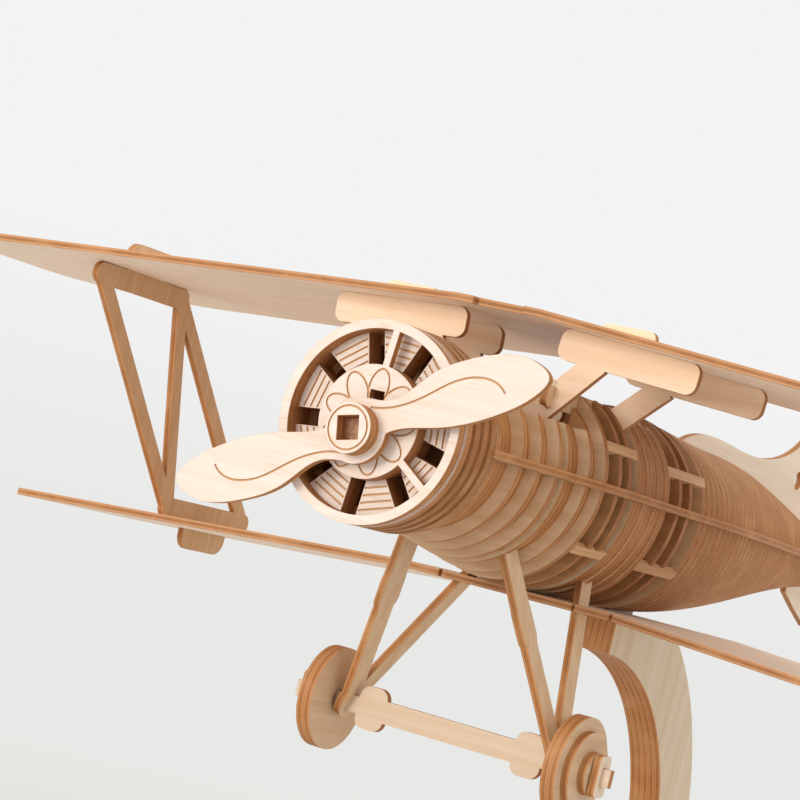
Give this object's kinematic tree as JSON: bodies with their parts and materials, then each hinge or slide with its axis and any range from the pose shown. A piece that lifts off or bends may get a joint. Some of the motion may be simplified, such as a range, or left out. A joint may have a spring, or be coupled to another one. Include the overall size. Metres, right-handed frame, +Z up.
{
  "type": "propeller plane model",
  "caption": "Plywood biplane model with a stacked-ply fuselage, turning propeller and wheels, on a curved display stand.",
  "frame": {"origin": "on the underside of the stand's base, under its middle", "axes": "+Z up, -Y the way the nose points, +X towards the aeroplane's left wing tip"},
  "size_m": [0.276, 0.244, 0.173],
  "materials": {
    "engine_ply": "bare laser-cut plywood",
    "propeller_ply": "bare laser-cut plywood",
    "shaft_wood": "bare laser-cut plywood",
    "former_ply": "bare laser-cut plywood",
    "tail_ply": "bare laser-cut plywood",
    "rail_ply": "bare laser-cut plywood",
    "fin_ply": "bare laser-cut plywood",
    "tailplane_ply": "bare laser-cut plywood",
    "wing_ply": "bare laser-cut plywood",
    "strut_ply": "bare laser-cut plywood",
    "gear_ply": "bare laser-cut plywood",
    "wheel_ply": "bare laser-cut plywood",
    "stand_ply": "bare laser-cut plywood"
  },
  "bodies": {
    "airframe": {"axle_key_left": "gear_ply", "axle_key_right": "gear_ply", "axle_plate": "gear_ply", "cabane_front_left": "strut_ply", "cabane_front_right": "strut_ply", "cabane_rear_left": "strut_ply", "cabane_rear_right": "strut_ply", "cabane_tie_left": "strut_ply", "cabane_tie_right": "strut_ply", "cowl_front_plate": "engine_ply", "cowl_ring_1": "engine_ply", "cowl_ring_2": "engine_ply", "cowl_ring_3": "engine_ply", "cowl_ring_4": "engine_ply", "cylinder_plate_front": "engine_ply", "cylinder_plate_middle": "engine_ply", "cylinder_plate_rear": "engine_ply", "fin": "fin_ply", "firewall": "engine_ply", "front_bay_formers": "former_ply", "gear_leg_left": "gear_ply", "gear_leg_right": "gear_ply", "instrument_board": "rail_ply", "interplane_strut_left": "strut_ply", "interplane_strut_right": "strut_ply", "keel_beam": "rail_ply", "longeron_left": "rail_ply", "longeron_right": "rail_ply", "lower_wing": "wing_ply", "middle_stack": "former_ply", "nose_fillers": "former_ply", "nose_former_1": "former_ply", "nose_former_2": "former_ply", "nose_former_3": "former_ply", "nose_former_4": "former_ply", "nose_former_5": "former_ply", "nose_former_6": "former_ply", "nose_former_7": "former_ply", "rear_bay_formers": "former_ply", "stand_arm_cheek_left": "stand_ply", "stand_arm_cheek_right": "stand_ply", "stand_arm_core": "stand_ply", "stand_base_lower": "stand_ply", "stand_base_upper": "stand_ply", "tail_skid": "fin_ply", "tail_stack": "tail_ply", "tailplane": "tailplane_ply", "upper_wing": "wing_ply", "window_stringers": "rail_ply"},
    "propeller_set": {"propeller": "propeller_ply", "propeller_spacer": "propeller_ply", "washer_back": "propeller_ply", "washer_front": "propeller_ply", "propeller_shaft": "shaft_wood", "shaft_retainer": "propeller_ply"},
    "wheel_left": {"wheel_tyre_left": "wheel_ply", "wheel_discs_left": "wheel_ply"},
    "wheel_right": {"wheel_tyre_right": "wheel_ply", "wheel_discs_right": "wheel_ply"}
  },
  "joints": [
    {"name": "propeller_spin", "type": "hinge", "parent": "airframe", "child": "propeller_set", "pos_m": [0, -0.124, 0.1279], "axis": [0, -1, 0], "continuous": true},
    {"name": "wheel_left_spin", "type": "hinge", "parent": "airframe", "child": "wheel_left", "pos_m": [0.028, -0.0655, 0.077], "axis": [1, 0, 0], "continuous": true},
    {"name": "wheel_right_spin", "type": "hinge", "parent": "airframe", "child": "wheel_right", "pos_m": [-0.028, -0.0655, 0.077], "axis": [1, 0, 0], "continuous": true}
  ]
}
